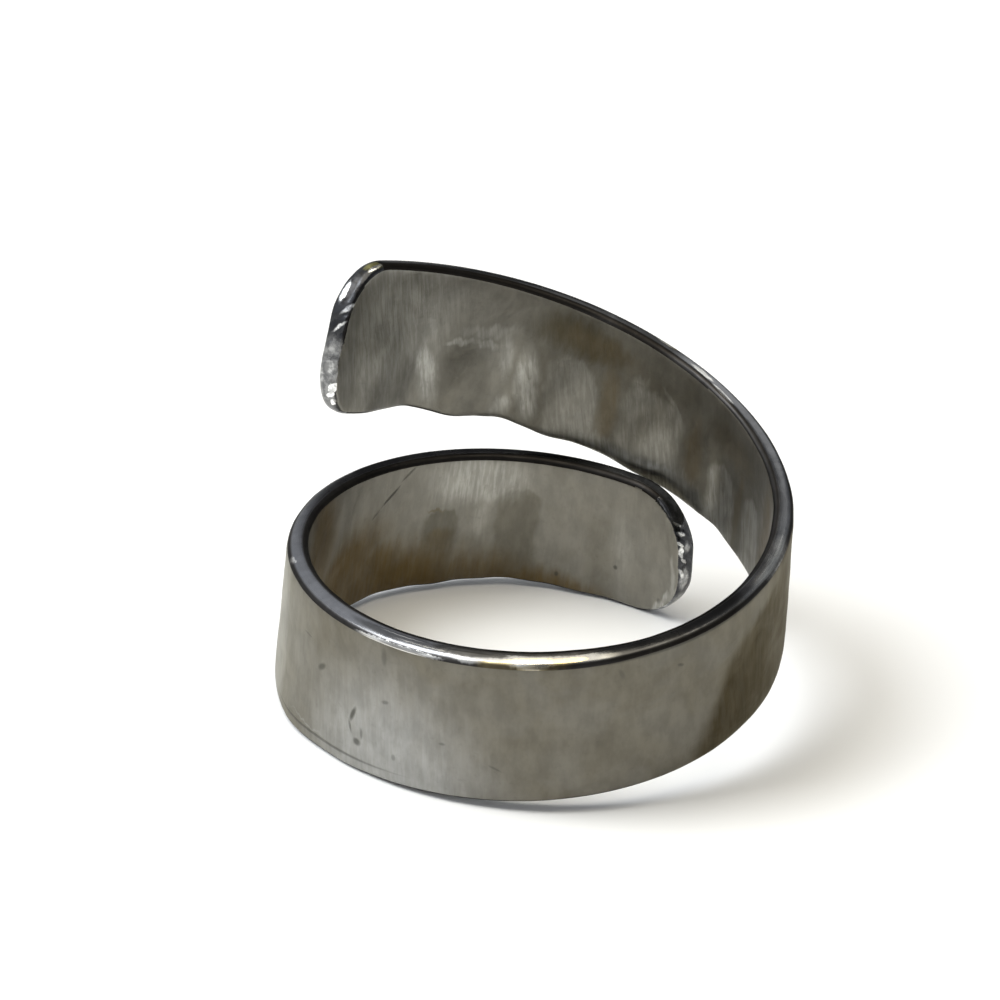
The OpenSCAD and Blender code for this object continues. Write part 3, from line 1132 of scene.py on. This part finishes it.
@dataclass(frozen=True)
class Notch:
    """One filed groove across a cut end of the strip.

    Attributes:
        tip: The end that it is on.
        height: Its place across the strip, in widths above the middle line.
        width: Its width in millimetres.
        depth: Its depth in millimetres.
        slant: How far it rises through the strip, in millimetres for each millimetre inwards.
    """

    tip: Tip
    height: float
    width: float
    depth: float
    slant: float = 0.9


NOTCHES: tuple[Notch, ...] = (
    Notch(HIGH, 0.15, 0.24, 0.03),
    Notch(HIGH, 0.03, 0.24, 0.04),
    Notch(HIGH, -0.09, 0.3, 0.03, 0.5),
    Notch(HIGH, -0.22, 0.24, 0.04, 0.6),
    Notch(HIGH, -0.33, 0.2, 0.04, 0.7),
    Notch(LOW, 0.27, 0.2, 0.04),
    Notch(LOW, 0.2, 0.2, 0.04),
    Notch(LOW, 0.08, 0.26, 0.05),
    Notch(LOW, -0.02, 0.2, 0.04),
    Notch(LOW, -0.16, 0.3, 0.04),
)


@dataclass
class RingBand:
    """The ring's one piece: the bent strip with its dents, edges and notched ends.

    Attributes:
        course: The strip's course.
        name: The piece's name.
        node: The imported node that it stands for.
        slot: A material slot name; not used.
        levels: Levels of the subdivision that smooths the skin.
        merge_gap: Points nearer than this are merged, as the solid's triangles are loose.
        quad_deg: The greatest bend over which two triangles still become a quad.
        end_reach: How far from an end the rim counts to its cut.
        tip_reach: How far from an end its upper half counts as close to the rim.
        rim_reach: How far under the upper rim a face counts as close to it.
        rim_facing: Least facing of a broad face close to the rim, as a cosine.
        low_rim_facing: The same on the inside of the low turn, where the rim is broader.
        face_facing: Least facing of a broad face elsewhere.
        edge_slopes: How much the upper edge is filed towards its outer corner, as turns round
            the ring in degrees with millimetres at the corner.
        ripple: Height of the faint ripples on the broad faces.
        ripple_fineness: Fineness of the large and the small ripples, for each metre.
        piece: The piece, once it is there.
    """

    course: StripCourse = field(default_factory=StripCourse)
    name: str = "ring_band"
    node: str = "band"
    slot: str = "band_metal"
    levels: int = 2
    merge_gap: float = 0.001 * MM
    quad_deg: float = 60.0
    end_reach: float = 1.5 * MM
    tip_reach: float = 2.6 * MM
    rim_reach: float = 0.5 * MM
    rim_facing: float = 0.965
    low_rim_facing: float = 0.99
    face_facing: float = 0.86
    edge_slopes: tuple[tuple[float, float], ...] = (
        (44, 0.03),
        (140, 0.03),
        (170, 0.1),
        (235, 0.14),
        (282, 0.14),
        (298, 0.05),
        (330, 0.02),
        (350, 0.08),
        (425, 0.08),
        (445, 0.03),
        (512, 0.03),
    )
    ripple: float = 0.018 * MM
    ripple_fineness: tuple[float, float] = (700.0, 1500.0)
    piece: bpy.types.Object | None = None

    def build(self, shared: SharedEffects) -> bpy.types.Object:
        """Builds and dresses the piece.

        Args:
            shared: The node groups that the finishes use.

        Returns:
            The finished piece.
        """
        self.copy_solid()
        self.refine()
        self.give_finishes(shared)
        self.work_surface()
        self.store_places()
        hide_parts(self.node)
        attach(self.piece, "root")
        return self.piece

    def copy_solid(self) -> None:
        """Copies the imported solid's mesh and joins its loose triangles into quads."""
        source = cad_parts[self.node]
        self.piece = bpy.data.objects.new(self.name, source.data.copy())
        bpy.context.scene.collection.objects.link(self.piece)
        self.piece.data.materials.clear()
        bpy.ops.object.select_all(action="DESELECT")
        self.piece.select_set(True)
        bpy.context.view_layer.objects.active = self.piece
        if self.piece.data.has_custom_normals:
            bpy.ops.mesh.customdata_custom_splitnormals_clear()
        bend = math.radians(self.quad_deg)
        bpy.ops.object.mode_set(mode="EDIT")
        bpy.ops.mesh.select_all(action="SELECT")
        bpy.ops.mesh.remove_doubles(threshold=self.merge_gap)
        bpy.ops.mesh.tris_convert_to_quads(face_threshold=bend, shape_threshold=bend)
        bpy.ops.object.mode_set(mode="OBJECT")

    def refine(self) -> None:
        """Smooths the skin with a subdivision surface, so that no flat of the solid shows."""
        smooth = self.piece.modifiers.new("smooth_skin", "SUBSURF")
        smooth.levels = smooth.render_levels = self.levels
        bpy.ops.object.modifier_apply(modifier=smooth.name)
        bpy.ops.object.shade_smooth()

    def point_values(self, key: str) -> np.ndarray:
        """Reads a vector of each of the mesh's points.

        Args:
            key: The vector to read, such as co or normal.

        Returns:
            The vectors, one in each row.
        """
        flat = np.empty(len(self.piece.data.vertices) * 3)
        self.piece.data.vertices.foreach_get(key, flat)
        return flat.reshape(-1, 3)

    def face_means(self, values: np.ndarray) -> np.ndarray:
        """Takes the means of the points' values over the faces.

        Args:
            values: A value for each point.

        Returns:
            A value for each face.
        """
        mesh = self.piece.data
        corners = np.empty(len(mesh.loops), int)
        mesh.loops.foreach_get("vertex_index", corners)
        starts, counts = np.empty(len(mesh.polygons), int), np.empty(len(mesh.polygons), int)
        mesh.polygons.foreach_get("loop_start", starts)
        mesh.polygons.foreach_get("loop_total", counts)
        return np.add.reduceat(values[corners], starts) / counts

    def from_end(self, along: np.ndarray) -> np.ndarray:
        """Returns the distance from the nearer end, for distances along the strip."""
        return np.minimum(along, self.course.length - along)

    def give_finishes(self, shared: SharedEffects) -> None:
        """Gives each face its finish, by the way it looks and by how near it is to a rim.

        Args:
            shared: The node groups that the finishes use.
        """
        mesh = self.piece.data
        for finish in (INSIDE, OUTSIDE, EDGE, END):
            mesh.materials.append(finish.build(shared, self.course))
        place, (_, out, _) = self.course.locate(self.point_values("co"))
        along, across = self.face_means(place[:, 0]), self.face_means(place[:, 1])
        facing = self.face_means((self.point_values("normal") * out).sum(1))
        from_end = self.from_end(along)
        on_upper_rim = across > self.course.width / 2 - self.rim_reach
        on_upper_tip = (from_end < self.tip_reach) & (across > 0)
        on_low_turn = (along > self.tip_reach) & (along < self.course.length / 2)
        rim_limit = np.where(on_low_turn & (facing < 0), self.low_rim_facing, self.rim_facing)
        limit = np.where(on_upper_rim | on_upper_tip, rim_limit, self.face_facing)
        kinds = np.where(from_end < self.end_reach, Side.END.value, Side.EDGE.value)
        kinds = np.where(facing < -limit, Side.INSIDE.value, kinds)
        kinds = np.where(facing > limit, Side.OUTSIDE.value, kinds)
        mesh.polygons.foreach_set("material_index", kinds)
        mesh.update()

    def work_surface(self) -> None:
        """Moves the points for the notched ends, the faint ripples and the filed upper edge."""
        points, normals = self.point_values("co"), self.point_values("normal")
        place, (_, out, up) = self.course.locate(points)
        facing = np.abs((normals * out).sum(1))
        move = self.ripples(points) * eased(facing, 0.5, 0.9) - self.notched(place, facing)
        moved = points + normals * move[:, None] - up * self.filed(place)[:, None]
        moved[:, 2] = np.maximum(moved[:, 2], 0)
        self.piece.data.vertices.foreach_set("co", moved.ravel())
        self.piece.data.update()

    def ripples(self, points: np.ndarray) -> np.ndarray:
        """Works out the faint ripples of the hand-worked faces.

        Args:
            points: The mesh's points.

        Returns:
            The height of the ripples at each point.
        """
        large, small = self.ripple_fineness
        heights = [noise.noise(Vector(p * large)) + 0.5 * noise.noise(Vector(p * small)) for p in points]
        return self.ripple * np.array(heights)

    def notched(self, place: np.ndarray, facing: np.ndarray) -> np.ndarray:
        """Works out the notches in the two cut ends.

        Args:
            place: Each point's distances along, across and through the strip.
            facing: How squarely each point faces through the strip, from 0 to 1.

        Returns:
            How deep each point is sunk.
        """
        along, across, through = place.T
        on_cut = eased(facing, 0.8, 0.4)
        on_cut = on_cut * eased(self.from_end(along), self.end_reach, 0.7 * self.end_reach)
        sunk = np.zeros(len(place))
        for notch in NOTCHES:
            on_tip = (along > self.course.length / 2) == (notch.tip is Tip.HIGH)
            level = across + notch.slant * through - notch.height * self.course.width
            groove = np.exp(-((level / (notch.width * MM / 2)) ** 2))
            sunk = np.maximum(sunk, notch.depth * MM * groove * on_tip)
        return sunk * on_cut

    def filed(self, place: np.ndarray) -> np.ndarray:
        """Works out the slope that handwork gave the upper edge.

        Args:
            place: Each point's distances along, across and through the strip.

        Returns:
            How far each point is lowered across the strip.
        """
        along, across, through = place.T
        half_width = self.course.width / 2
        on_top = eased(across, half_width - self.rim_reach, half_width - 0.4 * self.rim_reach)
        on_top = on_top * eased(self.from_end(along), 0, self.end_reach)
        turns, depths = zip(*self.edge_slopes)
        depth = np.interp(self.course.turn_at(along), turns, depths) * MM
        return depth * on_top * through / (self.course.thickness / 2)

    def store_places(self) -> None:
        """Stores the strip's own measures on the mesh, in millimetres along, across and through."""
        place, _ = self.course.locate(self.point_values("co"))
        stored = self.piece.data.attributes.new("strip_place", "FLOAT_VECTOR", "POINT")
        stored.data.foreach_set("vector", (place / MM).astype(np.float32).ravel())
        self.piece.data.update()


@dataclass
class Table:
    """The plain pale table.

    Attributes:
        size: Length of its sides.
        colour: Its colour.
        shade: How dark its faint specks are, as a share of the colour.
        grain: Fineness of the specks, for each metre.
    """

    size: float = 1.6
    colour: Colour = (0.86, 0.86, 0.85)
    shade: float = 0.985
    grain: float = 60.0

    def build(self) -> bpy.types.Object:
        """Builds the table top at the height the ring rests on.

        Returns:
            The table.
        """
        bpy.ops.object.select_all(action="DESELECT")
        bpy.ops.mesh.primitive_plane_add(size=self.size, location=(0, 0, 0))
        table = bpy.context.active_object
        table.name = "table_top"
        material = bpy.data.materials.new("pale_table")
        material.use_nodes = True
        net = NodeNet(material.node_tree)
        shader = material.node_tree.nodes["Principled BSDF"]
        specks = net.speckle(net.node("TexCoord").outputs["Object"], self.grain, 3.0)
        darker = tuple(self.shade * part for part in self.colour)
        net.feed(shader.inputs["Base Color"], net.blend(net.ramp(specks, 0.3, 0.7), self.colour, darker))
        shader.inputs["Roughness"].default_value = 0.3
        shader.inputs["Specular IOR Level"].default_value = 0.4
        table.data.materials.append(material)
        return table


@dataclass(frozen=True)
class SoftBox:
    """One studio lamp: a glowing panel that looks at the ring.

    Attributes:
        name: The lamp's name.
        bearing: Its direction seen from above, in degrees from +X towards +Y.
        height: Its height over the table as an angle, in degrees.
        distance: Its distance from the ring.
        width: Width of the panel.
        length: Length of the panel.
        power: Its power in watts.
        colour: The colour of its light.
        aim_height: Height over the table of the point it looks at.
    """

    name: str
    bearing: float
    height: float
    distance: float
    width: float
    length: float
    power: float
    colour: Colour = (1, 1, 1)
    aim_height: float = 5 * MM

    def build(self) -> bpy.types.Object:
        """Hangs the lamp.

        Returns:
            The lamp.
        """
        bearing, height = math.radians(self.bearing), math.radians(self.height)
        level = math.cos(height)
        towards = Vector((math.cos(bearing) * level, math.sin(bearing) * level, math.sin(height)))
        data = bpy.data.lights.new(self.name, "AREA")
        data.shape, data.size, data.size_y = "RECTANGLE", self.width, self.length
        data.energy, data.color = self.power, self.colour
        lamp = bpy.data.objects.new(self.name, data)
        bpy.context.scene.collection.objects.link(lamp)
        lamp.location = Vector((0, 0, self.aim_height)) + towards * self.distance
        lamp.rotation_euler = towards.to_track_quat("Z", "Y").to_euler()
        return lamp


@dataclass
class Studio:
    """The studio: its lamps, the grey room round them, and the camera.

    Attributes:
        backdrop: Colour of the room in front of the ring and behind it.
        left_wall: Colour of the room's left side.
        right_wall: Colour of the room's right side.
        horizon: Colour of the room near the table and under it.
        elevation: How far the camera looks down, in degrees.
        azimuth: How far it looks to the right of +Y, in degrees.
        roll: How far it is turned anticlockwise about its own line of sight, in degrees.
        distance: Its distance from the origin, along its line of sight.
        aim: How far the origin lies right of that line and above it.
        focal_px: Its focal length, in pixels of the photograph.
        image_px: Width of the photograph in pixels.
        sensor: Width of its sensor, in millimetres.
        lamps: The lamps.
    """

    backdrop: Colour = (0.09, 0.09, 0.095)
    left_wall: Colour = (0.74, 0.77, 0.83)
    right_wall: Colour = (0.27, 0.285, 0.3)
    horizon: Colour = (0.8, 0.8, 0.8)
    elevation: float = 25.361
    azimuth: float = 0.958
    roll: float = 4.765
    distance: float = 147.35 * MM
    aim: tuple[float, float] = (0.94694 * MM, -7.2385 * MM)
    focal_px: float = 3946.18
    image_px: float = 1000.0
    sensor: float = 36.0
    lamps: tuple[SoftBox, ...] = (
        SoftBox(
            "overhead_lamp", bearing=262, height=82, distance=0.55,
            width=0.5, length=0.4, power=2.1, colour=(1.0, 0.93, 0.78),
        ),
        SoftBox(
            "left_lamp", bearing=193, height=50, distance=0.5,
            width=0.24, length=0.26, power=2.4, colour=(0.94, 0.97, 1.0),
        ),
        SoftBox("back_lamp", bearing=66, height=35, distance=0.55, width=0.14, length=0.26, power=0.11),
    )

    def build(self) -> None:
        """Sets up the colour settings, the room, the lamps and the camera."""
        settings = bpy.context.scene.view_settings
        settings.view_transform, settings.look = "Standard", "None"
        self.build_room()
        for lamp in self.lamps:
            lamp.build()
            LOG.info("lamp %s", lamp.name)
        camera = self.place_camera()
        LOG.info("camera %s", camera.name)

    def build_room(self) -> None:
        """Paints the room that the metal reflects."""
        world = bpy.data.worlds.new("studio_room")
        bpy.context.scene.world = world
        world.use_nodes = True
        net = NodeNet(world.node_tree)
        away = net.parts(net.node("TexCoord").outputs["Generated"])
        walls = net.blend(net.ramp(away["X"], -0.08, -0.3), self.backdrop, self.left_wall)
        walls = net.blend(net.ramp(away["X"], 0.08, 0.3), walls, self.right_wall)
        room = net.blend(net.ramp(away["Z"], 0.12, 0.26), self.horizon, walls)
        net.feed(world.node_tree.nodes["Background"].inputs["Color"], room)

    def place_camera(self) -> bpy.types.Object:
        """Places the camera where the photograph was taken from.

        Returns:
            The camera.
        """
        down, aside, roll = (math.radians(v) for v in (self.elevation, self.azimuth, self.roll))
        level = math.cos(down)
        ahead = Vector((math.sin(aside) * level, math.cos(aside) * level, -math.sin(down)))
        right = Vector((math.cos(aside), -math.sin(aside), 0))
        up = right.cross(ahead)
        side = right * math.cos(roll) + up * math.sin(roll)
        top = up * math.cos(roll) - right * math.sin(roll)
        data = bpy.data.cameras.new("photo_camera")
        data.sensor_width = self.sensor
        data.lens = self.focal_px * self.sensor / self.image_px
        data.clip_start, data.clip_end = 0.01, 10
        camera = bpy.data.objects.new("photo_camera", data)
        bpy.context.scene.collection.objects.link(camera)
        turn = Matrix((side, top, -ahead)).transposed().to_4x4()
        turn.translation = -side * self.aim[0] - top * self.aim[1] - ahead * self.distance
        camera.matrix_world = turn
        bpy.context.scene.camera = camera
        return camera


def main() -> None:
    """Builds the ring, the table and the studio."""
    logging.basicConfig(level=logging.INFO, format="%(message)s")
    ring = RingBand().build(SharedEffects())
    LOG.info("piece %s: %d faces", ring.name, len(ring.data.polygons))
    table = Table().build()
    LOG.info("piece %s: %d face", table.name, len(table.data.polygons))
    Studio().build()


if __name__ == "__main__":
    main()
